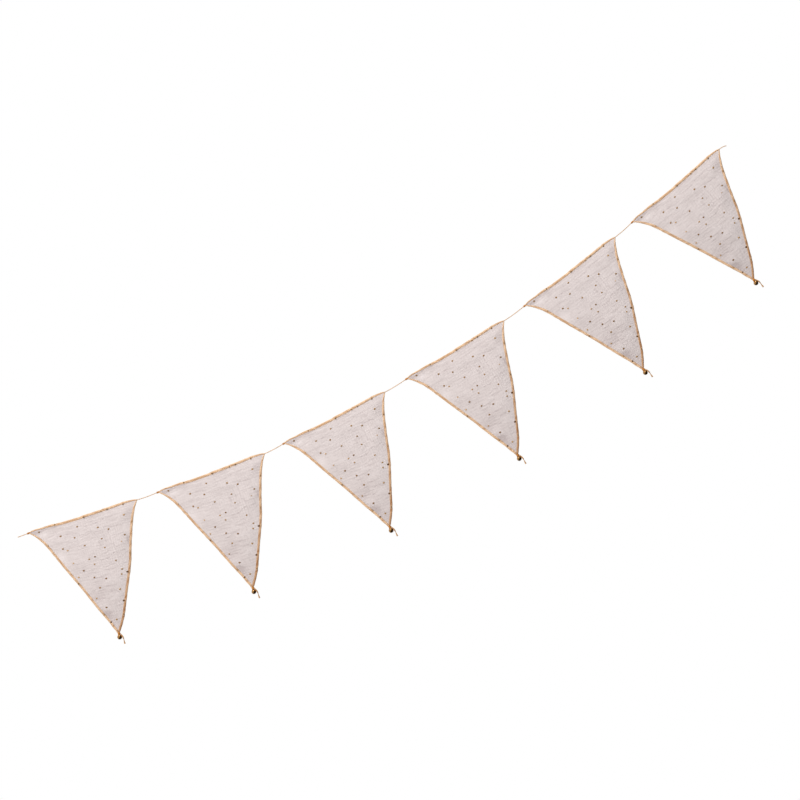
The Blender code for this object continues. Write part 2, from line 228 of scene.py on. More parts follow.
CLEAR = 0.3
STRING_DIAMETER = 1.6
STRING_TURN = 7.4
STRING_PITCH = 0.45
STRING_SIDES = 14
PLY_GROOVE = 0.34
PLY_LUMP = 0.10
LUMP_LENGTH = 2.5
YARN_SLANT = 0.9
YARN_WIDTH = 0.42
STRING_INTO_EDGE = 0.7
FLAG_WIDTH = 202.3
FLAG_RISE = 1.4
WRAP_LENGTH = 4.0
CHAIN = (
    # flag, string_length, string_slope_deg, string_bow, flag_slope_deg
    (6, 14.9, 26.4, 1.0, 39.6),
    (5, 43.2, 41.2, -0.7, 36.8),
    (4, 47.8, 35.9, -0.8, 30.4),
    (3, 47.5, 31.3, -0.8, 26.6),
    (2, 40.9, 27.7, -0.7, 19.5),
    (1, 42.0, 19.8, -0.7, 16.7),
)
LOWER_LENGTH = 21.8
LOWER_SLOPE = 20.2
STRING_LIGHT = (0.70, 0.45, 0.265, 1)
STRING_DARK = (0.32, 0.14, 0.05, 1)


def thread_finish(name, light, dark, slant, yarn):
    """Cotton thread: fine fibres slant along it, with shade painted darker down between its turns and plies.
    """
    made = bpy.data.materials.new(name)
    made.use_nodes = True
    shader = made.node_tree.nodes["Principled BSDF"]
    shader.inputs["Roughness"].default_value = 0.62
    shader.inputs["Sheen Weight"].default_value = 0.25
    shader.inputs["Sheen Roughness"].default_value = 0.4
    shader.inputs["Specular IOR Level"].default_value = 0.35
    finish = Finish(made.node_tree)
    lie = finish.node("ShaderNodeUVMap", {"uv_map": "lie"}, {})
    sides = finish.node("ShaderNodeSeparateXYZ", {}, {0: lie}, "X")
    along = finish.node("ShaderNodeSeparateXYZ", {}, {0: lie}, "Y")
    deep = finish.node("ShaderNodeAttribute", {"attribute_name": "groove"}, {}, "Fac")
    patches = finish.node("ShaderNodeTexNoise", {}, {"Vector": lie, "Scale": 0.13, "Detail": 2.0})
    hairs = finish.node("ShaderNodeTexNoise", {}, {"Vector": lie, "Scale": 2.4, "Detail": 2.0})
    fibres = ((sides * slant + along + hairs * 0.5) * (2 * math.pi / yarn)).sine()
    # Painted shade from the vertex attribute, plus paler and darker patches and hairs of the yarn itself,
    # sets the mix; the dark colour stands both for painted shade and for darker yarn.
    shade = deep * 0.85 + (patches - 0.5) * 0.5 + (hairs - 0.5) * 0.25 - fibres * 0.06
    tone = finish.node("ShaderNodeMix", {"data_type": "RGBA"}, {0: shade, 6: light, 7: dark}, 2)
    raised = finish.node(
        "ShaderNodeBump",
        {},
        {"Strength": 0.55, "Distance": 0.12 * MM, "Height": fibres + hairs},
    )
    rough = hairs * 0.2 + 0.5
    finish.feed(shader, {"Base Color": tone, "Normal": raised, "Roughness": rough})
    return made


string_thread = thread_finish("string_cotton", STRING_LIGHT, STRING_DARK, YARN_SLANT, YARN_WIDTH)


def step(length, slope):
    """A step up the chain, in the plane of the flags."""
    angle = math.radians(slope)
    return Vector((math.cos(angle), 0, math.sin(angle))) * length * MM


def rolled(name, around, along, girth, length, point_at):
    """A grid rolled into a closed tube. Its map gives millimetres round it and along it."""
    form = bmesh.new()
    lie = form.loops.layers.uv.new("lie")
    # A float per point that holds how much shade is painted on the thread there.
    groove = form.verts.layers.float.new("groove")
    bmesh.ops.create_grid(form, x_segments=around, y_segments=along, size=0.5, calc_uvs=True)
    for face in form.faces:
        for corner in face.loops:
            corner[lie].uv = (corner[lie].uv.x * girth, corner[lie].uv.y * length)
    for vert in form.verts:
        i = round((vert.co.x + 0.5) * around) % around
        j = round((vert.co.y + 0.5) * along)
        # point_at gives each point its place and how much shade is painted on it.
        vert.co, vert[groove] = point_at(i, j)
    bmesh.ops.remove_doubles(form, verts=form.verts, dist=1e-7)
    rims = [edge for edge in form.edges if edge.is_boundary]
    bmesh.ops.holes_fill(form, edges=rims, sides=0)
    return finished(name, form)


def finished(name, form):
    """A mesh from a form, with its faces pointing out and shaded smooth."""
    bmesh.ops.recalc_face_normals(form, faces=form.faces)
    mesh = bpy.data.meshes.new(name)
    form.to_mesh(mesh)
    form.free()
    mesh.shade_smooth()
    return mesh


def cord_mesh(name, line, thickness, diameter, turn, sides):
    """Two plies twisted together along a line of points, as thick as thickness says."""
    count = len(line)
    reach = [0.0]
    for a, b in zip(line, line[1:]):
        reach.append(reach[-1] + (b - a).length / MM)
    front = Vector((0, -1, 0))

    def point_at(i, j):
        ahead = (line[min(j + 1, count - 1)] - line[max(j - 1, 0)]).normalized()
        outward = (front - ahead * front.dot(ahead)).normalized()
        upward = outward.cross(ahead)
        angle = 2 * math.pi * i / sides
        ply = abs(math.cos(angle - math.pi * 2 * reach[j] / turn))
        lump = 1 + PLY_LUMP * noise.noise(Vector((reach[j] / LUMP_LENGTH, angle, 3.0)))
        radius = diameter / 2 * thickness(j / (count - 1)) * lump * (1 - PLY_GROOVE * (1 - ply))
        spot = line[j] + (outward * math.cos(angle) + upward * math.sin(angle)) * radius * MM
        # The second value is painted shade, darkest in the groove between the plies.
        return spot, (1 - ply) ** 2

    return rolled(name, sides, count - 1, math.pi * diameter, reach[-1], point_at)


def fitted(name, mesh, finish, nodes):
    """A finished piece in the scene, which rides on the part and takes its nodes' place."""
    piece = bpy.data.objects.new(name, mesh)
    piece.data.materials.append(finish)
    bpy.context.scene.collection.objects.link(piece)
    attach(piece, "root")
    if nodes:
        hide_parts(*nodes)
    return piece


flag_places = {}
wrap_places = {}
string_runs = {}
flag_reach = math.hypot(FLAG_RISE, FLAG_WIDTH)
flag_turn = math.degrees(math.atan2(FLAG_RISE, FLAG_WIDTH))
left_corner = Vector((0, 0, 0))
left_end = Vector((0, 0, 0))
for k, (number, length, slope, bow, flag_slope) in enumerate(CHAIN):
    right_corner = left_corner - step(length, slope)
    run_start = right_corner + step(CLEAR, slope)
    upper = "upper_end" if k == 0 else f"{number}_{number + 1}"
    string_runs[upper] = (run_start, left_end, bow)
    left_corner = right_corner - step(flag_reach, flag_slope + flag_turn)
    turned = Matrix.Rotation(-math.radians(flag_slope), 4, "Y")
    flag_places[number] = Matrix.Translation(left_corner) @ turned
    below = CHAIN[k + 1][2] if k + 1 < len(CHAIN) else LOWER_SLOPE
    wrap_turn = Matrix.Rotation(math.radians(90 - below), 4, "Y")
    wrap_places[number] = Matrix.Translation(left_corner - step(CLEAR, below)) @ wrap_turn
    left_end = left_corner - step(WRAP_LENGTH + 2 * CLEAR, below)
string_runs["lower_end"] = (left_corner - step(LOWER_LENGTH, LOWER_SLOPE), left_end, 0.0)

for word, (start, end, bow) in string_runs.items():
    run = end - start
    stations = round(run.length / (STRING_PITCH * MM))
    upward = Vector((-run.z, 0, run.x)).normalized()
    line = []
    for k in range(stations + 1):
        share = k / stations
        line.append(start + run * share + upward * (4 * bow * MM * share * (1 - share)))
    line[0] -= run.normalized() * STRING_INTO_EDGE * MM
    mesh = cord_mesh(f"thread_{word}", line, lambda share: 1.0, STRING_DIAMETER, STRING_TURN, STRING_SIDES)
    string = fitted(f"thread_{word}", mesh, string_thread, [f"string_{word}"])
    if word not in ("upper_end", "lower_end"):
        sum((b - a).length for a, b in zip(line, line[1:]))


# The flags' cloth: one panel of pale warm grey cotton double gauze each, cut pointed
# with its long sides curving in. The gauze is crinkled in fine lines that run across
# the flag, with faint ribs the other way at the right, and hangs in a few soft folds.

CLOTH_THICK = 1.0
TOP_WIDTH = 4.4
SIDE_WIDTH = 4.4
THREAD_OUTSIDE = 1.0
CLOTH_COLUMNS = 120
CLOTH_ROWS = 190
CORNER_LEFT = 2.6
CORNER_RIGHT = 200.4
CLOTH_DROP = 216.2
TIP_DOWN = 217.0
RIM_PLAIN = 2.6
RIM_FADE = 3.0
TOP_EDGE = (
    # across, rise
    (0.0, 0.0),
    (5.4, 1.3),
    (22.0, 1.2),
    (41.4, 0.9),
    (58.0, -0.4),
    (77.4, -0.8),
    (92.0, -0.7),
    (106.0, 0.1),
    (128.0, 0.7),
    (149.0, 1.4),
    (164.0, 2.0),
    (179.0, 3.1),
    (189.0, 2.8),
    (202.3, 1.4),
)
LEFT_EDGE = (
    # down, across
    (0.0, 0.0),
    (8.6, 9.1),
    (15.8, 15.2),
    (30.2, 24.0),
    (51.8, 33.5),
    (73.4, 42.5),
    (102.2, 54.9),
    (131.0, 67.1),
    (159.8, 78.3),
    (188.6, 90.5),
    (216.0, 101.0),
)
RIGHT_EDGE = (
    # down, across
    (-1.4, 202.3),
    (8.6, 195.1),
    (15.8, 191.0),
    (30.2, 184.1),
    (51.8, 176.0),
    (73.4, 168.5),
    (102.2, 158.9),
    (123.8, 149.9),
    (145.4, 139.9),
    (167.0, 130.3),
    (188.6, 120.6),
    (203.0, 112.5),
    (216.0, 103.4),
)
TOP_SWELL = (
    # across, share of the full width
    (0.0, 0.50),
    (14.0, 0.56),
    (30.0, 0.78),
    (55.0, 1.0),
    (165.0, 1.0),
    (185.0, 0.78),
    (202.3, 0.50),
)
SIDE_SWELL = (
    # down, share of the full width
    (0.0, 0.50),
    (8.0, 0.66),
    (20.0, 0.94),
    (32.0, 1.0),
    (217.0, 1.0),
)
HANG = (
    # down, crown, lean
    (0.0, 0.6, 0.0),
    (30.0, 3.0, 1.0),
    (80.0, 4.6, 2.0),
    (130.0, 4.0, 1.0),
    (170.0, 2.4, -1.6),
    (217.0, 0.0, -5.0),
)
FOLDS = (
    # across, down, half_length, half_width, turn_deg, height
    (38.0, 34.0, 17.0, 11.0, 35.0, 2.0),
    (57.0, 76.0, 17.0, 12.0, 60.0, 2.0),
    (183.0, 12.0, 20.0, 10.0, -12.0, 1.6),
    (154.0, 62.0, 22.0, 12.0, -68.0, 2.4),
    (133.0, 118.0, 16.0, 12.0, -60.0, 1.8),
    (92.0, 166.0, 16.0, 10.0, 10.0, 1.5),
    (100.0, 22.0, 34.0, 12.0, 3.0, 1.1),
)
CRINKLE_LINE = 4.9
CRINKLE_HEIGHT = 0.10
RIB_LINE = 4.3
RIB_HEIGHT = 0.09
CREASE_HALF = 1.15
CREASE_NEAR = 9.0
CREASE_BEYOND = 0.3
CREASE_FADE = 1.6
CREASE_HEIGHT = 0.13
# How strongly shade is painted into the creases, and light and shade onto the crinkle.
CREASE_SHADE = 0.5
CRINKLE_LIGHT_AND_SHADE = 2.95
RIB_MIDDLE = (141.0, 62.0)
RIB_REACH = (27.0, 34.0)
CREASES = (
    # across and down at one end, across and down at the other, depth
    (30.0, 8.0, 60.0, 9.5, 0.6),
    (42.0, 11.0, 78.0, 12.5, 0.5),
    (24.0, 17.0, 40.0, 18.0, 0.6),
    (47.0, 20.5, 66.0, 22.5, 0.9),
    (64.0, 22.3, 81.0, 24.5, 1.0),
    (30.0, 25.0, 48.0, 26.0, 0.5),
    (98.0, 17.0, 122.0, 17.0, 0.7),
    (120.0, 17.0, 133.0, 14.0, 0.9),
    (132.0, 14.2, 153.0, 12.5, 1.0),
    (145.0, 19.0, 176.0, 18.0, 0.7),
    (140.0, 20.5, 155.0, 23.0, 0.6),
    (30.0, 30.0, 60.0, 31.0, 0.4),
    (30.0, 34.5, 52.0, 34.2, 0.6),
    (53.0, 34.0, 64.0, 36.0, 0.7),
    (89.0, 31.5, 112.0, 31.0, 0.7),
    (131.0, 27.5, 142.0, 29.5, 0.6),
    (142.0, 31.0, 155.0, 32.2, 1.2),
    (157.0, 30.5, 164.0, 34.0, 0.9),
    (112.0, 35.0, 131.0, 36.0, 0.5),
    (40.0, 39.0, 75.0, 38.0, 0.4),
    (95.0, 38.0, 108.0, 41.0, 0.6),
    (116.0, 41.5, 118.0, 45.0, 0.7),
    (128.0, 41.0, 130.0, 46.0, 0.6),
    (136.0, 37.0, 137.5, 47.0, 0.7),
    (150.0, 42.0, 160.0, 41.0, 0.7),
    (60.0, 44.0, 80.0, 48.0, 0.6),
    (95.0, 47.5, 118.0, 46.5, 0.4),
    (130.0, 50.2, 150.0, 50.0, 0.6),
    (148.0, 50.0, 162.0, 47.5, 0.9),
    (40.0, 54.0, 70.0, 52.0, 0.5),
    (84.0, 54.0, 101.0, 55.0, 0.8),
    (116.5, 51.0, 118.0, 57.0, 1.1),
    (129.0, 51.0, 130.5, 55.0, 0.9),
    (137.0, 51.5, 138.5, 57.0, 0.9),
    (144.0, 50.5, 145.5, 55.0, 0.8),
    (70.0, 60.5, 90.0, 62.5, 0.6),
    (117.0, 59.5, 119.0, 63.0, 0.8),
    (130.0, 63.0, 133.5, 67.0, 1.0),
    (138.0, 61.5, 143.5, 67.5, 0.9),
    (144.0, 68.5, 155.0, 66.5, 0.6),
    (55.0, 66.0, 84.0, 65.5, 0.5),
    (84.0, 66.5, 102.0, 67.0, 0.7),
    (113.0, 65.5, 119.0, 68.0, 0.8),
    (70.0, 70.0, 112.0, 71.0, 0.4),
    (112.0, 75.5, 121.0, 74.0, 0.7),
    (121.0, 74.2, 128.5, 71.0, 1.1),
    (130.5, 71.0, 135.0, 73.0, 0.7),
    (52.0, 79.5, 84.0, 80.0, 0.5),
    (98.0, 80.5, 114.0, 83.0, 0.6),
    (113.0, 83.5, 124.0, 84.0, 1.0),
    (123.0, 84.0, 129.0, 81.5, 1.0),
    (131.5, 80.5, 138.0, 77.0, 0.9),
    (137.0, 77.0, 146.0, 80.0, 0.9),
    (149.0, 78.0, 158.0, 76.5, 1.2),
    (151.0, 86.5, 156.0, 84.5, 0.8),
    (156.0, 84.5, 161.0, 81.0, 0.7),
    (56.0, 86.0, 82.0, 88.0, 0.5),
    (110.0, 89.5, 127.0, 90.5, 0.8),
    (151.0, 92.5, 157.0, 92.0, 0.7),
    (60.0, 95.0, 100.0, 97.0, 0.5),
    (123.5, 94.5, 131.0, 98.0, 1.0),
    (114.0, 98.0, 121.0, 98.3, 0.6),
    (149.0, 99.5, 158.0, 98.5, 0.6),
    (60.0, 104.0, 84.0, 102.0, 0.4),
    (84.0, 100.0, 99.0, 103.0, 0.7),
    (108.0, 101.0, 119.0, 104.0, 0.6),
    (118.0, 104.2, 138.0, 103.5, 1.0),
    (74.0, 111.0, 88.0, 112.5, 0.7),
    (94.0, 112.5, 105.0, 114.2, 0.7),
    (104.0, 114.2, 116.0, 111.0, 0.7),
    (119.0, 114.5, 136.0, 112.5, 0.6),
    (74.0, 119.2, 91.0, 118.8, 0.6),
    (90.0, 119.0, 105.0, 121.2, 0.9),
    (140.0, 121.0, 147.0, 123.0, 0.8),
    (121.0, 125.0, 124.5, 129.5, 0.8),
    (136.0, 127.5, 144.0, 128.2, 0.7),
    (99.0, 129.0, 110.0, 132.0, 0.7),
    (108.0, 132.0, 125.0, 132.8, 1.1),
    (73.0, 135.5, 83.0, 134.0, 0.7),
    (92.0, 136.0, 104.0, 138.2, 0.8),
    (93.0, 144.5, 106.0, 147.0, 0.9),
    (105.0, 147.0, 112.5, 143.0, 0.9),
    (111.5, 143.2, 121.0, 143.0, 1.1),
    (120.0, 143.0, 126.0, 148.5, 0.9),
    (85.0, 149.0, 96.0, 151.0, 0.8),
    (95.0, 150.8, 104.5, 154.0, 1.0),
    (103.5, 154.0, 113.0, 152.0, 1.0),
    (126.0, 157.0, 130.0, 157.0, 0.9),
    (100.0, 162.3, 109.0, 161.0, 0.6),
    (116.0, 161.5, 122.0, 163.5, 0.8),
    (83.0, 165.0, 89.0, 168.5, 0.9),
    (103.5, 167.5, 105.0, 175.0, 0.7),
    (113.0, 167.0, 114.0, 175.0, 0.8),
    (119.0, 171.0, 123.5, 172.0, 0.9),
    (98.0, 178.0, 113.0, 181.0, 0.5),
)
# Painted light and shade on the cloth: soft lighter and darker patches, with darker bands under the top's
# covered edge among them.
LIGHT_AND_SHADE_PATCHES = (
    # across, down, half_across, half_down, strength
    (24.0, 11.0, 12.0, 4.5, 0.6),
    (43.0, 60.0, 9.0, 11.0, 0.65),
    (95.0, 140.0, 30.0, 22.0, -0.3),
    (35.0, 2.5, 34.0, 2.5, -0.8),
    (112.0, 3.0, 12.0, 3.0, -0.7),
    (152.0, 92.0, 6.0, 14.0, 0.4),
    (122.0, 125.0, 18.0, 7.0, 0.25),
    (80.0, 13.0, 50.0, 6.0, -0.2),
    (180.0, 20.0, 9.0, 9.0, -0.5),
    (169.5, 43.0, 5.0, 8.0, 0.4),
    (168.5, 63.0, 4.0, 8.0, -1.0),
    (144.0, 124.0, 14.0, 16.0, 0.7),
    (118.0, 150.0, 16.0, 12.0, 0.4),
    (80.0, 148.0, 12.0, 10.0, -0.3),
    (88.0, 181.0, 10.0, 8.0, -2.0),
    (101.0, 200.0, 10.0, 10.0, -0.5),
    (138.0, 126.0, 10.0, 10.0, -0.3),
    (10.0, 4.5, 12.0, 4.0, -0.6),
    (102.0, 200.0, 16.0, 26.0, -0.2),
)


def smooth(table, x, column=1):
    """A curve through one column of a table, straight on beyond its ends."""
    last = len(table) - 1
    i = 0
    while i < last - 1 and table[i + 1][0] <= x:
        i += 1

    def slope_at(k):
        a = table[max(k - 1, 0)]
        b = table[min(k + 1, last)]
        return (b[column] - a[column]) / (b[0] - a[0])

    if x <= table[0][0]:
        return table[0][column] + slope_at(0) * (x - table[0][0])
    if x >= table[last][0]:
        return table[last][column] + slope_at(last) * (x - table[last][0])
    span = table[i + 1][0] - table[i][0]
    t = (x - table[i][0]) / span
    start = (1 + 2 * t) * (1 - t) ** 2 * table[i][column] + t * (1 - t) ** 2 * span * slope_at(i)
    end = t * t * (3 - 2 * t) * table[i + 1][column] - t * t * (1 - t) * span * slope_at(i + 1)
    return start + end


def relief(across, down):
    """How far the cloth's middle stands out of the flag's plane."""
    left = smooth(LEFT_EDGE, down)
    right = smooth(RIGHT_EDGE, down)
    share = min(max((across - left) / max(right - left, 1.0), 0.0), 1.0)
    depth = min(max(down, 0.0), TIP_DOWN)
    out = smooth(HANG, depth, 2) + smooth(HANG, depth, 1) * math.sin(math.pi * share)
    for mid_across, mid_down, length, width, turn, height in FOLDS:
        c = math.cos(math.radians(turn))
        s = math.sin(math.radians(turn))
        along = (across - mid_across) * c + (down - mid_down) * s
        aside = (down - mid_down) * c - (across - mid_across) * s
        out += height * math.exp(-0.5 * ((along / length) ** 2 + (aside / width) ** 2))
    return out


def wander(x, y, seed):
    """Slow chance wandering over the flag, from -1 to 1."""
    return noise.noise(Vector((x, y, seed)))


def crinkle(across, down):
    """The gauze's fine relief: wandering lines across the flag and faint ribs down it."""
    drift = 1.7 * wander(across / 38, down / 26, 1.5) + 0.7 * wander(across / 13, down / 11, 4.5)
    lines = math.sin(2 * math.pi * down / CRINKLE_LINE + 2.2 * drift)
    strong = 0.75 + 0.7 * wander(across / 24, down / 7, 7.5)
    blotch = wander(across / 15, down / 2.6, 10.5) + 0.6 * wander(across / 6, down / 1.9, 13.5)
    sway = 1.3 * wander(across / 12, down / 20, 16.5)
    ribs = math.sin(2 * math.pi * across / RIB_LINE + 2.4 * sway)
    near_across = (across - RIB_MIDDLE[0]) / RIB_REACH[0]
    near_down = (down - RIB_MIDDLE[1]) / RIB_REACH[1]
    ribbed = 0.22 + 0.78 * math.exp(-near_across**2 - near_down**2)
    return CRINKLE_HEIGHT * (0.6 * lines * strong + 0.9 * blotch) + RIB_HEIGHT * ribs * ribbed


def crease(across, down):
    """How deep the point lies in one of the cloth's sharper creases, from 0 to about 1."""
    deep = 0.0
    for from_across, from_down, to_across, to_down, depth in CREASES:
        run = to_across - from_across
        fall = to_down - from_down
        x = across - from_across
        y = down - from_down
        if min(abs(y), abs(y - fall)) > CREASE_NEAR:
            continue
        share = (x * run + y * fall) / (run * run + fall * fall)
        if not -CREASE_BEYOND < share < 1 + CREASE_BEYOND:
            continue
        length = math.hypot(run, fall)
        beyond = max(0.0, -share, share - 1.0) * length
        aside = (y * run - x * fall) / length
        deep += depth * math.exp(-((aside / CREASE_HALF) ** 2) - (beyond / CREASE_FADE) ** 2)
    return deep


def top_width(across):
    """How wide the top's covered edge is there."""
    return TOP_WIDTH * smooth(TOP_SWELL, min(max(across, 0.0), FLAG_WIDTH))


def side_width(down):
    """How wide a long side's covered edge is there."""
    return SIDE_WIDTH * smooth(SIDE_SWELL, min(max(down, 0.0), TIP_DOWN))


def in_flag(across, down, out):
    """A point of the flag's own frame, in metres."""
    return Vector((across, -out, -down)) * MM


def side_point(edge, inward, down, aside):
    """A point aside of a side edge's line, towards the cloth."""
    lean = smooth(edge, down + 0.5) - smooth(edge, down - 0.5)
    length = math.hypot(lean, 1.0)
    return smooth(edge, down) + inward * aside / length, down - inward * aside * lean / length


def top_point(across, aside):
    """A point aside of the top edge's line, towards the cloth."""
    lean = smooth(TOP_EDGE, across + 0.5) - smooth(TOP_EDGE, across - 0.5)
    length = math.hypot(lean, 1.0)
    return across + aside * lean / length, -smooth(TOP_EDGE, across) + aside / length


def cloth_mesh():
    """The panel of crinkled gauze, whose rim lies in the covered edges."""

    def into(width):
        return THREAD_OUTSIDE + CLEAR - width / 2

    def top_of(share):
        across = CORNER_LEFT + (CORNER_RIGHT - CORNER_LEFT) * share
        return Vector(top_point(across, into(top_width(across))))

    form = bmesh.new()
    lie = form.loops.layers.uv.new("lie")
    tone = form.verts.layers.float.new("tone")
    bmesh.ops.create_grid(form, x_segments=CLOTH_COLUMNS, y_segments=CLOTH_ROWS, size=0.5, calc_uvs=True)
    rows = {}
    for vert in form.verts:
        share = vert.co.x + 0.5
        sunk = 0.5 - vert.co.y
        key = round(sunk * CLOTH_ROWS)
        if key not in rows:
            row_down = CLOTH_DROP * sunk
            rim = into(side_width(row_down))
            rows[key] = (
                Vector(side_point(LEFT_EDGE, 1, row_down, rim)),
                Vector(side_point(RIGHT_EDGE, -1, row_down, rim)),
            )
        left, right = rows[key]
        if key == 0:
            spot = top_of(share)
        else:
            wave = top_of(share) - top_of(0).lerp(top_of(1), share)
            spot = left.lerp(right, share) + wave * (1 - sunk) ** 3
        across, down = spot
        breadth = (right - left).length
        from_rim = min(share * breadth, (1 - share) * breadth, down + 1.0)
        free = min(max(from_rim - RIM_PLAIN, 0.0) / RIM_FADE, 1.0)
        deep = crease(across, down)
        fine = crinkle(across, down) - CREASE_HEIGHT * deep
        vert.co = in_flag(across, down, relief(across, down) + free * fine + CLOTH_THICK / 2)
        # Painted shade and light: darker in the creases and in the crinkle's hollows, lighter on its crests,
        # plus the listed patches.
        shade = -CREASE_SHADE * deep + CRINKLE_LIGHT_AND_SHADE * (fine + CREASE_HEIGHT * deep)
        for mid_across, mid_down, half_across, half_down, strength in LIGHT_AND_SHADE_PATCHES:
            near = ((across - mid_across) / half_across) ** 2 + ((down - mid_down) / half_down) ** 2
            shade += strength * math.exp(-near)
        vert[tone] = shade
    for face in form.faces:
        for corner in face.loops:
            spot = corner.vert.co / MM
            corner[lie].uv = (spot.x, spot.z)
    made = bmesh.ops.extrude_face_region(form, geom=form.faces[:])
    backs = [item for item in made["geom"] if isinstance(item, bmesh.types.BMVert)]
    bmesh.ops.translate(form, verts=backs, vec=(0, CLOTH_THICK * MM, 0))
    return finished("gauze", form)


# The gauze's ramp colours: painted light and shade, with random clouds and slubs, move the cloth between
# dark and light.
GAUZE_LIGHT = (0.715, 0.642, 0.63, 1)
GAUZE_MIDDLE = (0.625, 0.553, 0.538, 1)
GAUZE_DARK = (0.49, 0.42, 0.41, 1)
GAUZE_YARN = 0.75


def gauze_finish():
    """Cotton gauze: an open plain weave in two layers, with painted light and shade from the cloth's tone
    attribute, and paler and darker clouds and slubs.
    """
    made = bpy.data.materials.new("gauze_cotton")
    made.use_nodes = True
    shader = made.node_tree.nodes["Principled BSDF"]
    shader.inputs["Roughness"].default_value = 0.92
    shader.inputs["Sheen Weight"].default_value = 0.2
    shader.inputs["Sheen Roughness"].default_value = 0.5
    shader.inputs["Specular IOR Level"].default_value = 0.15
    finish = Finish(made.node_tree)
    lie = finish.node("ShaderNodeUVMap", {"uv_map": "lie"}, {})
    across = finish.node("ShaderNodeSeparateXYZ", {}, {0: lie}, "X")
    down = finish.node("ShaderNodeSeparateXYZ", {}, {0: lie}, "Y")
    tone = finish.node("ShaderNodeAttribute", {"attribute_name": "tone"}, {}, "Fac")
    cloud = finish.node(
        "ShaderNodeTexNoise",
        {},
        {"Vector": lie, "Scale": 0.05, "Detail": 4.0, "Roughness": 0.6},
    )
    slub_line = finish.node("ShaderNodeVectorMath", {"operation": "MULTIPLY"}, {0: lie, 1: (0.10, 0.9, 1.0)})
    slubs = finish.node("ShaderNodeTexNoise", {}, {"Vector": slub_line, "Scale": 1.0, "Detail": 3.0})
    weft = (down * (2 * math.pi / GAUZE_YARN)).sine()
    warp = (across * (2 * math.pi / GAUZE_YARN)).sine()
    weave = weft * warp
    # Painted light and shade from the tone attribute, with random clouds, slubs and the weave.
    light = tone * 0.5 + (cloud - 0.5) * 0.35 + (slubs - 0.5) * 0.35 + weave * 0.03 + 0.5
    tones = ((0.0, GAUZE_DARK), (1.0, GAUZE_LIGHT), (0.5, GAUZE_MIDDLE))
    tint = finish.node("ShaderNodeValToRGB", {"stops": tones}, {"Fac": light})
    raised = finish.node(
        "ShaderNodeBump",
        {},
        {"Strength": 0.35, "Distance": 0.12 * MM, "Height": weave + slubs * 2},
    )
    finish.feed(shader, {"Base Color": tint, "Normal": raised})
    return made


def placed(name, pattern, place, finish, nodes):
    """A piece cut from a pattern that all the flags share, set in its own flag's place."""
    mesh = pattern.copy()
    mesh.transform(place)
    return fitted(name, mesh, finish, nodes)


gauze = gauze_finish()
panel = cloth_mesh()
for number, place in flag_places.items():
    placed(f"gauze_{number}", panel, place, gauze, [f"flag_{number}_cloth"])


# The covered edges: golden tan thread stitched closely over the cloth's three edges.
# Its turns slant across the edge in plump ribs, a little uneven along their inner side.
# The two long ones are cut to the top one and meet at the tip.

TIP_ACROSS = 102.2
SLOT_HALF = 0.53
COVER_HALF_THICK = 1.35
COVER_STATION = 0.6
COVER_GIRTH = 12.8
COVER_ROUNDING = 1.5
TURN_PITCH = 2.4
TURN_SLANT = 0.75
TURN_HEIGHT = 0.26
STRAND_PITCH = 23.0
STRAND_HEIGHT = 0.3
COVER_LAP = 0.5
TOP_OUTWARD = 0.5
LEFT_OUTWARD = 0.35
RIGHT_OUTWARD = -0.1
# Painted shade on the covered edges: on the top one's lower side, and on the long ones' outer side, growing
# towards the tip.
TOP_PAINTED_SHADE = 0.05
LEFT_PAINTED_SHADE = 0.1
RIGHT_PAINTED_SHADE = 0.77
COVER_SECTION = (
    # aside, out, as shares of the half width and the half thickness
    (1.00, 0.40),
    (0.94, 0.52),
    (0.77, 0.66),
    (0.45, 0.84),
    (0.00, 1.00),
    (-0.40, 0.90),
    (-0.72, 0.68),
    (-0.93, 0.36),
    (-1.00, 0.10),
)
TAPER_LENGTH = 3.0
TAPER_END = 0.66
HALVINGS = 40
TAN_LIGHT = (0.775, 0.525, 0.332, 1)
TAN_DARK = (0.36, 0.16, 0.06, 1)

tan_thread = thread_finish("tan_thread_cotton", TAN_LIGHT, TAN_DARK, YARN_SLANT, YARN_WIDTH)


def cover_section(width):
    """The section's points, aside and out: the front, the back, then the slot."""
    half = width / 2
    front = [(a * half, out * COVER_HALF_THICK) for a, out in COVER_SECTION]
    back = [(a, -out) for a, out in reversed(front)]
    bed = THREAD_OUTSIDE - half
    return front + back + [(half, -SLOT_HALF), (bed, -SLOT_HALF), (bed, SLOT_HALF), (half, SLOT_HALF)]


THREAD_POINTS = 2 * len(COVER_SECTION)
SECTION_POINTS = THREAD_POINTS + 4


def turned_thread(reach, i, seed):
    """How far the thread stands out at a section point, and how much shade is painted there: in the grooves
    between its turns, along a twisted strand that swaps sides, and all over inside the slot.
    """
    if i >= THREAD_POINTS:
        return 0.0, 1.0
    place = i / (THREAD_POINTS - 1)
    phase = reach / TURN_PITCH + TURN_SLANT * place + 0.4 * wander(reach / 13, place * 2, seed)
    inside = phase - math.floor(phase)
    crest = 4 * inside * (1 - inside)
    height = TURN_HEIGHT * (0.8 + 0.8 * wander(reach / 9, 0.0, seed + 2))
    lay = reach / STRAND_PITCH + 1.3 * place + 0.9 * wander(reach / 26, 0.0, seed + 6)
    strand = 0.5 + 0.5 * math.sin(2 * math.pi * lay)
    groove = 0.3 * (1 - crest) ** 1.5 + 0.5 * (1 - strand) ** 2.5
    return height * (crest - 0.55) + STRAND_HEIGHT * (strand - 0.7), groove


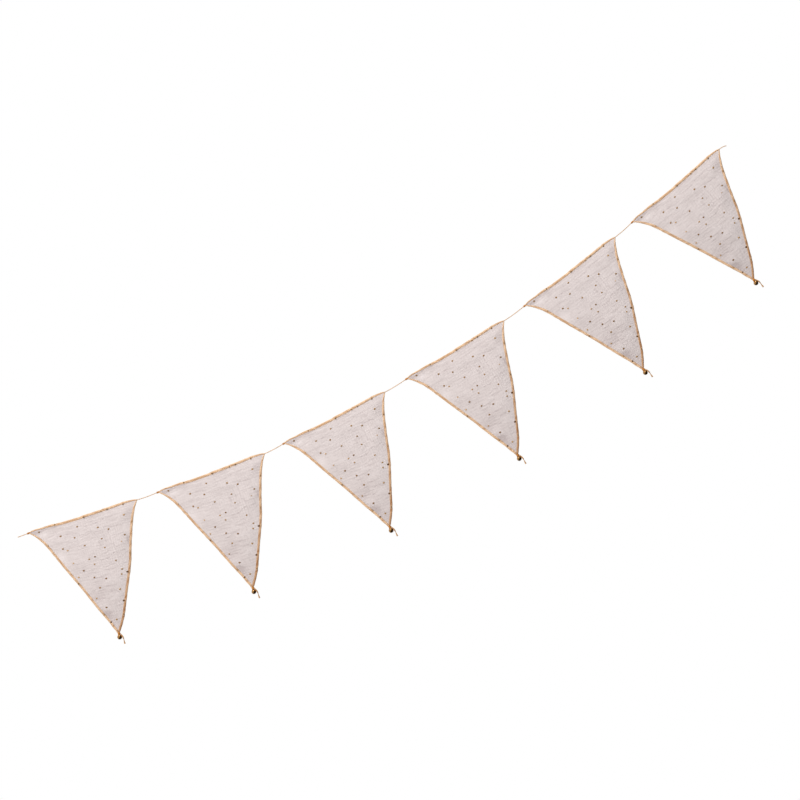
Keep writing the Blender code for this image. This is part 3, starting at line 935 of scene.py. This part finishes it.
def cover_mesh(name, stations, length, seed, outward, painted_shade_at, width_at, spot_at):
    """A covered edge, moved outward a little, with painted shade added along one side where the given
    function says so.
    """
    sections = [cover_section(width_at(j)) for j in range(stations + 1)]

    def point_at(i, j):
        aside, out = sections[j][i]
        reach = length * j / stations
        rise, groove = turned_thread(reach, i, seed)
        size = math.hypot(aside, out * COVER_ROUNDING)
        aside += rise * aside / size
        out += rise * out * COVER_ROUNDING / size
        swell = 1 + 0.08 * wander(reach / 11, 0.0, seed + 4)
        sway = 0.3 * wander(reach / 8, 0.0, seed + 8)
        groove += painted_shade_at(j / stations, aside / SIDE_WIDTH)
        return spot_at(i, j, aside * swell + sway - outward, out), groove

    return rolled(name, SECTION_POINTS, stations, COVER_GIRTH, length, point_at)


def crossing(value, low, high):
    """Where a rising function passes zero."""
    for _ in range(HALVINGS):
        middle = (low + high) / 2
        if value(middle) < 0:
            low = middle
        else:
            high = middle
    return (low + high) / 2


def side_cover_mesh(name, edge, inward, seed, outward, side_shade_strength):
    """A long side's covered edge, cut along the top one and meeting its twin at the tip."""

    def start_of(aside):
        def over_top(down):
            a, d = side_point(edge, inward, down, aside)
            return d + smooth(TOP_EDGE, a) - top_width(a) / 2 + COVER_LAP

        return crossing(over_top, -SIDE_WIDTH, CLOTH_DROP / 4)

    def end_of(aside):
        def over_tip(down):
            a, d = side_point(edge, inward, down, aside)
            return max(inward * (a - TIP_ACROSS), d - TIP_DOWN - COVER_LAP)

        return crossing(over_tip, TIP_DOWN - 2 * SIDE_WIDTH, TIP_DOWN + 2 * SIDE_WIDTH)

    starts = [start_of(aside) for aside, _ in cover_section(side_width(0.0))]
    ends = [end_of(aside) for aside, _ in cover_section(side_width(TIP_DOWN))]
    length = math.hypot(smooth(edge, TIP_DOWN) - smooth(edge, 0), TIP_DOWN)
    stations = round(length / COVER_STATION)

    def spot_at(i, j, aside, out):
        down = starts[i] + (ends[i] - starts[i]) * j / stations
        a, d = side_point(edge, inward, down, aside)
        return in_flag(a, d, relief(a, d) + out)

    def width_at(j):
        return side_width(TIP_DOWN * j / stations)

    def painted_shade_at(share, inside):
        return side_shade_strength * share**1.5 * (1 - 0.3 * inside)

    return cover_mesh(name, stations, length, seed, outward, painted_shade_at, width_at, spot_at)


def top_cover_mesh():
    """The top's covered edge, drawn in at both ends to the string's size."""
    stations = round(FLAG_WIDTH / COVER_STATION)

    def spot_at(i, j, aside, out):
        across = FLAG_WIDTH * j / stations
        from_end = min(across, FLAG_WIDTH - across) / TAPER_LENGTH
        size = min(1.0, TAPER_END + (1 - TAPER_END) * from_end)
        a, d = top_point(across, aside * size)
        return in_flag(a, d, relief(a, d) + out * size)

    def width_at(j):
        return top_width(FLAG_WIDTH * j / stations)

    def painted_shade_at(share, inside):
        return TOP_PAINTED_SHADE * max(inside, 0.0)

    return cover_mesh("top_cover", stations, FLAG_WIDTH, 50.0, TOP_OUTWARD, painted_shade_at, width_at, spot_at)


covers = {
    "top": top_cover_mesh(),
    "left": side_cover_mesh("left_cover", LEFT_EDGE, 1, 20.0, LEFT_OUTWARD, LEFT_PAINTED_SHADE),
    "right": side_cover_mesh("right_cover", RIGHT_EDGE, -1, 80.0, RIGHT_OUTWARD, RIGHT_PAINTED_SHADE),
}
hems = {number: [] for number in flag_places}
for number, place in flag_places.items():
    for word, pattern in covers.items():
        node = f"flag_{number}_{word}_edging"
        hem = placed(f"{word}_cover_{number}", pattern, place, tan_thread, [node])
        hems[number].append(hem)


# The dots: small spots of gold foil pressed on the front of the gauze, slightly domed,
# most of them a little wider than high. Some lie on the covered edges.

DOT_HEIGHT = 0.5
DOT_SPREAD = 1.03
DOT_LIFT = 0.15
DOT_SIDES = 14
DOT_RIM = 0.5
DOT_INSET = 0.3
DOT_SHOULDER = 0.35
DOT_CROWN = 0.15
DOT_SUNK = 0.05
DOT_OVER_COVER = 0.1
COVER_RISE = 0.6
COVER_LEAN = 0.92
# FOIL_DARK is the colour of worn foil and of the painted shade on the darker dots.
FOIL_LIGHT = (0.78, 0.48, 0.21, 1)
FOIL_DARK = (0.17, 0.08, 0.025, 1)
DOTS = (
    # across, down, half_width, half_height, turn_deg, painted shade
    (17.1, 3.8, 1.9, 1.4, 8, 0.6),
    (86.0, 14.0, 1.8, 1.3, -10, 0.45),
    (52.7, 22.0, 1.9, 1.35, -8, 0.45),
    (172.8, 17.5, 1.9, 1.4, -12, 0.2),
    (121.7, 25.7, 1.9, 1.45, 4, 0.4),
    (76.3, 31.7, 1.8, 1.3, 4, 0.55),
    (139.1, 34.2, 1.9, 1.4, -18, 0.55),
    (50.4, 45.0, 1.7, 1.45, 10, 0.5),
    (57.8, 50.4, 1.6, 1.2, 5, 0.2),
    (89.8, 50.4, 1.8, 1.3, -8, 0.5),
    (122.6, 47.2, 1.7, 1.3, 6, 0.5),
    (164.3, 52.2, 1.7, 1.4, 12, 0.6),
    (155.5, 61.9, 1.1, 0.9, 0, 0.1),
    (123.5, 64.1, 1.6, 1.25, 10, 0.45),
    (61.2, 75.1, 1.4, 1.1, 6, 0.05),
    (90.7, 76.3, 1.7, 1.3, -10, 0.2),
    (101.9, 74.9, 1.7, 1.3, 6, 0.7),
    (97.4, 87.5, 1.6, 1.3, 25, 0.35),
    (75.2, 93.2, 1.9, 1.35, 0, 0.65),
    (135.9, 92.0, 1.7, 1.35, -10, 0.45),
    (62.8, 102.1, 1.7, 1.2, 10, 0.05),
    (90.2, 110.2, 1.8, 1.5, 6, 0.65),
    (142.2, 109.8, 1.8, 1.3, -6, 0.3),
    (110.0, 118.1, 1.8, 1.45, 5, 0.7),
    (138.8, 118.4, 1.6, 1.35, -8, 0.25),
    (94.5, 131.0, 1.9, 1.4, -14, 0.45),
    (128.0, 143.6, 1.8, 1.5, 5, 0.15),
    (82.6, 147.6, 1.6, 1.3, 12, 0.35),
    (94.9, 168.3, 1.9, 1.45, 8, 0.65),
    (105.7, 194.4, 1.7, 1.5, 0, 0.2),
    (149.6, 117.5, 1.9, 1.6, 0, 0.95),
    (128.0, 165.4, 1.9, 1.6, 0, 1.2),
    (48.2, -1.3, 1.5, 1.2, 0, 0.4),
    (101.9, 0.9, 1.6, 1.2, 0, 0.7),
    (135.0, -0.4, 1.4, 1.1, 0, 0.5),
    (146.7, -0.9, 1.5, 1.2, 0, 0.6),
    (176.4, -0.7, 1.5, 1.1, 0, 0.6),
    (26.3, 31.7, 1.0, 1.1, 0, 0.0),
    (59.0, 113.0, 1.4, 1.3, 0, 0.6),
    (86.8, 179.6, 1.3, 1.4, 0, 0.3),
    (94.5, 196.2, 1.6, 1.2, 0, 0.9),
    (182.6, 33.5, 1.3, 1.3, 0, 0.5),
    (163.8, 86.9, 1.3, 1.3, 0, 0.15),
    (120.6, 188.6, 1.2, 1.4, 0, 0.5),
)


def front_of(across, down):
    """The front surface at a point: the gauze, or the covered edge over it."""
    out = relief(across, down) + crinkle(across, down) + CLOTH_THICK / 2
    top = down + smooth(TOP_EDGE, across) - top_width(across) / 2
    left = across - smooth(LEFT_EDGE, down) - side_width(down) / 2
    right = smooth(RIGHT_EDGE, down) - across - side_width(down) / 2
    lift = 0.0
    for inside in (top, left * COVER_LEAN, right * COVER_LEAN):
        lift = max(lift, min(max(-inside / COVER_RISE, 0.0), 1.0))
    return out + lift * (COVER_HALF_THICK - CLOTH_THICK / 2 + DOT_OVER_COVER)


def dots_mesh():
    """All the dots of a flag: one domed disc each, laid on the surface below it."""
    form = bmesh.new()
    darkness = form.verts.layers.float.new("darkness")
    for across, down, half_width, half_height, turn, dark in DOTS:
        disc = bmesh.ops.create_circle(form, cap_ends=True, segments=DOT_SIDES, radius=1.0)["verts"]
        face = disc[0].link_faces[0]
        made = bmesh.ops.extrude_face_region(form, geom=[face])
        raised = [item for item in made["geom"] if isinstance(item, bmesh.types.BMFace)]
        bmesh.ops.translate(form, verts=raised[0].verts, vec=(0, 0, DOT_RIM))
        bmesh.ops.inset_region(form, faces=raised, thickness=DOT_INSET, depth=0.0, use_even_offset=True)
        bmesh.ops.translate(form, verts=raised[0].verts, vec=(0, 0, DOT_SHOULDER))
        centre = bmesh.ops.poke(form, faces=raised)["verts"]
        bmesh.ops.translate(form, verts=centre, vec=(0, 0, DOT_CROWN))
        c = math.cos(math.radians(turn))
        s = math.sin(math.radians(turn))
        found = set(disc)
        edge = set(disc)
        while edge:
            edge = {other.other_vert(vert) for vert in edge for other in vert.link_edges} - found
            found |= edge
        for vert in found:
            x = vert.co.x * half_width * DOT_SPREAD
            y = vert.co.y * half_height * DOT_SPREAD
            high = vert.co.z * DOT_HEIGHT - DOT_SUNK
            a = across + x * c - y * s
            d = down - DOT_LIFT + x * s + y * c
            vert.co = in_flag(a, d, front_of(a, d) + high)
            vert[darkness] = dark
    return finished("foil_dots", form)


def metal_finish(name, light, dark, metallic, roughness, wear_scale, wear):
    """Gold-coloured metal, duller and darker in worn patches, and darkened as painted shade where its
    per-point attribute says so.
    """
    made = bpy.data.materials.new(name)
    made.use_nodes = True
    shader = made.node_tree.nodes["Principled BSDF"]
    shader.inputs["Metallic"].default_value = metallic
    finish = Finish(made.node_tree)
    spot = finish.node("ShaderNodeTexCoord", {}, {}, "Object")
    marks = finish.node("ShaderNodeTexNoise", {}, {"Vector": spot, "Scale": wear_scale, "Detail": 3.0})
    worn = finish.node(
        "ShaderNodeMapRange",
        {},
        {"Value": marks, "From Min": 0.45, "From Max": 0.7, "To Min": 0.0, "To Max": wear},
    )
    # Painted shade on each dot, as dark as the dot's value says; the bell has none.
    dot_shade = finish.node("ShaderNodeAttribute", {"attribute_name": "darkness"}, {}, "Fac")
    tint = finish.node("ShaderNodeMix", {"data_type": "RGBA"}, {0: worn + dot_shade, 6: light, 7: dark}, 2)
    raised = finish.node("ShaderNodeBump", {}, {"Strength": 0.15, "Distance": 0.1 * MM, "Height": marks})
    finish.feed(shader, {"Base Color": tint, "Roughness": worn * 0.3 + roughness, "Normal": raised})
    return made


foil = metal_finish("gold_foil", FOIL_LIGHT, FOIL_DARK, 0.5, 0.42, 900.0, 0.25)
dot_pattern = dots_mesh()
for number, place in flag_places.items():
    placed(f"foil_dots_{number}", dot_pattern, place, foil, [])


# The wraps and knots: dark copper-coloured thread wound round the string where it
# leaves a flag's left corner, and wound tight round the tip.

COIL_SIDES = 8
COIL_STEPS = 18
WRAP_RADIUS = 1.85
WRAP_THREAD = 1.25
WRAP_TURNS = 5.1
WRAP_BULGE = 0.25
WRAP_LAP = 1.7
WRAP_SEEN = 6.3
KNOT_ACROSS = 102.1
KNOT_TOP = 216.3
KNOT_HEIGHT = 6.7
KNOT_RADIUS = 2.55
KNOT_THREAD = 1.3
KNOT_TURNS = 5.6
KNOT_BULGE = 0.3
KNOT_LEAN = 6.0
TIP_OUT = -5.0
COPPER_LIGHT = (0.53, 0.215, 0.037, 1)
COPPER_DARK = (0.24, 0.08, 0.012, 1)
COPPER_SLANT = 0.6
COPPER_YARN = 0.3

copper_thread = thread_finish("copper_thread_cotton", COPPER_LIGHT, COPPER_DARK, COPPER_SLANT, COPPER_YARN)


def coil_mesh(name, radius, length, thread, turns, bulge):
    """A thread wound down the upright axis in close turns, fuller in the middle."""
    steps = round(turns * COIL_STEPS)
    fall = length - thread

    def middle_of(share):
        angle = 2 * math.pi * turns * share
        full = radius - thread / 2 - bulge * (2 * share - 1) ** 2
        high = -thread / 2 - fall * share
        return Vector((full * math.cos(angle), full * math.sin(angle), high))

    def point_at(i, j):
        share = j / steps
        middle = middle_of(share)
        outward = Vector((middle.x, middle.y, 0)).normalized()
        angle = 2 * math.pi * i / COIL_SIDES
        fat = thread / 2 * (1 + 0.12 * wander(share * 9, 0.0, radius))
        spot = middle + (outward * math.cos(angle) + Vector((0, 0, 1)) * math.sin(angle)) * fat
        # The second value is painted shade, darkest on the side of each turn that faces the string.
        return spot * MM, 0.5 - 0.5 * math.cos(angle)

    return rolled(name, COIL_SIDES, steps, math.pi * thread, 2 * math.pi * radius * turns, point_at)


wrap_pattern = coil_mesh("corner_wrap", WRAP_RADIUS, WRAP_SEEN, WRAP_THREAD, WRAP_TURNS, WRAP_BULGE)
wrap_pattern.transform(Matrix.Translation((0, 0, (CLEAR + WRAP_LAP) * MM)))
knot_pattern = coil_mesh("tip_knot", KNOT_RADIUS, KNOT_HEIGHT, KNOT_THREAD, KNOT_TURNS, KNOT_BULGE)
at_knot = Matrix.Translation(in_flag(KNOT_ACROSS, KNOT_TOP, TIP_OUT))
at_knot = at_knot @ Matrix.Rotation(math.radians(KNOT_LEAN), 4, "Y")
knots = {}
for number, place in flag_places.items():
    windings = (
        ("corner_wrap", wrap_pattern, wrap_places[number], "corner_wrap"),
        ("tip_knot", knot_pattern, place @ at_knot, "knot"),
    )
    knots[number] = []
    for word, pattern, spot, part in windings:
        node = f"flag_{number}_{part}"
        knots[number].append(placed(f"{word}_{number}", pattern, spot, copper_thread, [node]))


# The bells: a hollow ball pressed from two thin halves of gold-coloured brass, with a
# rolled seam round its middle, a wire loop on its crown, and a slot under its belly
# that ends in a round hole at each side.

BELL_DIAMETER = 8.8
BELL_WALL = 0.45
BELL_STEPS = 48
BELL_RINGS = 24
BELL_ACROSS = 101.2
BELL_DOWN = 226.5
BELL_TURN = 50.0
SEAM_RISE = 0.06
SEAM_HALF = 0.35
LOOP_RADIUS = 0.6
LOOP_WIRE = 0.3
LOOP_RISE = 4.5
LOOP_SIDES = 10
LOOP_STEPS = 24
SLOT_WIDTH = 1.2
SLOT_TOP = -0.3
HOLE_RADIUS = 1.0
HOLE_SIDES = 24
SHARP_FROM = 40.0
BRASS_LIGHT = (0.80, 0.44, 0.16, 1)
BRASS_DARK = (0.46, 0.22, 0.07, 1)


def turned_form(profile, steps):
    """A profile of radius and height, turned about the upright axis."""
    form = bmesh.new()
    verts = [form.verts.new((radius * MM, 0, height * MM)) for radius, height in profile]
    edges = [form.edges.new(pair) for pair in zip(verts, verts[1:])]
    bmesh.ops.spin(
        form,
        geom=verts + edges,
        axis=(0, 0, 1),
        cent=(0, 0, 0),
        angle=2 * math.pi,
        steps=steps,
        use_merge=True,
    )
    bmesh.ops.remove_doubles(form, verts=form.verts, dist=1e-6)
    return form


def ball_profile(radius, seam):
    """A half circle from pole to pole, with a low rolled seam at the middle."""
    profile = []
    for k in range(BELL_RINGS + 1):
        angle = math.pi * k / BELL_RINGS
        high = radius * math.cos(angle)
        swell = seam * max(0.0, 1 - abs(high) / SEAM_HALF)
        profile.append(((radius + swell) * math.sin(angle), high))
    return profile


def bell_mesh():
    """The ball with its hollow, loop, slot and two holes."""
    radius = BELL_DIAMETER / 2
    loop = bmesh.new()
    bmesh.ops.create_circle(loop, segments=LOOP_SIDES, radius=LOOP_WIRE * MM)
    bmesh.ops.translate(loop, verts=loop.verts, vec=(LOOP_RADIUS * MM, 0, 0))
    bmesh.ops.spin(
        loop,
        geom=loop.verts[:] + loop.edges[:],
        axis=(0, 1, 0),
        cent=(0, 0, 0),
        angle=2 * math.pi,
        steps=LOOP_STEPS,
        use_merge=True,
    )
    bmesh.ops.translate(loop, verts=loop.verts, vec=(0, 0, LOOP_RISE * MM))
    slot = bmesh.new()
    cut = Matrix.Diagonal((BELL_DIAMETER * MM, SLOT_WIDTH * MM, BELL_DIAMETER * MM, 1))
    bmesh.ops.create_cube(slot, size=1, matrix=Matrix.Translation((0, 0, (SLOT_TOP - radius) * MM)) @ cut)
    hole = bmesh.new()
    bmesh.ops.create_cone(
        hole,
        cap_ends=True,
        segments=HOLE_SIDES,
        radius1=HOLE_RADIUS * MM,
        radius2=HOLE_RADIUS * MM,
        depth=2 * BELL_DIAMETER * MM,
        matrix=Matrix.Translation((0, 0, SLOT_TOP * MM)) @ Matrix.Rotation(math.pi / 2, 4, "Y"),
    )
    outside = radius - SEAM_RISE / 2
    forms = (
        ("shell", turned_form(ball_profile(outside, SEAM_RISE), BELL_STEPS), None),
        ("loop", loop, "UNION"),
        ("hollow", turned_form(ball_profile(outside - BELL_WALL, 0.0), BELL_STEPS), "DIFFERENCE"),
        ("slot", slot, "DIFFERENCE"),
        ("hole", hole, "DIFFERENCE"),
    )
    helpers = []
    for word, form, operation in forms:
        helper = bpy.data.objects.new(f"bell_{word}", finished(f"bell_{word}", form))
        bpy.context.scene.collection.objects.link(helper)
        helpers.append(helper)
        if operation:
            change = helpers[0].modifiers.new(word, "BOOLEAN")
            change.operation = operation
            change.solver = "EXACT"
            change.object = helper
    bpy.context.view_layer.update()
    shell = helpers[0].evaluated_get(bpy.context.evaluated_depsgraph_get())
    made = bpy.data.meshes.new_from_object(shell)
    made.name = "round_bell"
    for helper in helpers:
        bpy.data.objects.remove(helper)
    made.shade_smooth()
    made.set_sharp_from_angle(angle=math.radians(SHARP_FROM))
    return made


brass = metal_finish("bell_brass", BRASS_LIGHT, BRASS_DARK, 1.0, 0.09, 700.0, 0.5)
bell_pattern = bell_mesh()
at_bell = Matrix.Translation(in_flag(BELL_ACROSS, BELL_DOWN, TIP_OUT))
at_bell = at_bell @ Matrix.Rotation(math.radians(BELL_TURN - 90), 4, "Z")
for number, place in flag_places.items():
    node = f"flag_{number}_bell"
    placed(f"round_bell_{number}", bell_pattern, place @ at_bell, brass, [node])


# The loose threads: the end of the edges' thread hangs from the knot beside the bell,
# worn thin part way down and frayed open at its end.

TAIL_DIAMETER = 2.2
TAIL_TURN = 5.2
TAIL_SIDES = 12
TAIL_STATIONS = 60
TAIL_PATH = (
    # down, across, out, thickness
    (219.4, 103.4, -4.9, 0.75),
    (222.6, 105.0, -4.6, 0.9),
    (226.4, 106.6, -4.2, 1.15),
    (229.4, 107.1, -4.4, 1.25),
    (232.2, 107.2, -4.8, 0.7),
    (235.2, 107.0, -5.0, 0.85),
    (238.2, 106.9, -5.0, 1.3),
    (240.8, 106.9, -5.0, 1.35),
)
WORN_LIGHT = (0.58, 0.32, 0.13, 1)
WORN_DARK = (0.23, 0.095, 0.028, 1)


def tail_mesh():
    """The loose thread along its path."""
    start = TAIL_PATH[0][0]
    fall = TAIL_PATH[-1][0] - start
    line = []
    for k in range(TAIL_STATIONS + 1):
        down = start + fall * k / TAIL_STATIONS
        line.append(in_flag(smooth(TAIL_PATH, down, 1), down, smooth(TAIL_PATH, down, 2)))

    def thickness(share):
        return smooth(TAIL_PATH, start + fall * share, 3)

    return cord_mesh("loose_thread", line, thickness, TAIL_DIAMETER, TAIL_TURN, TAIL_SIDES)


worn_thread = thread_finish("worn_thread_cotton", WORN_LIGHT, WORN_DARK, YARN_SLANT, YARN_WIDTH)
tail_pattern = tail_mesh()
for number, place in flag_places.items():
    node = f"flag_{number}_bell_thread"
    tail = placed(f"loose_thread_{number}", tail_pattern, place, worn_thread, [node])
    upper = "upper_end" if number == 6 else f"{number}_{number + 1}"


bpy.context.view_layer.update()
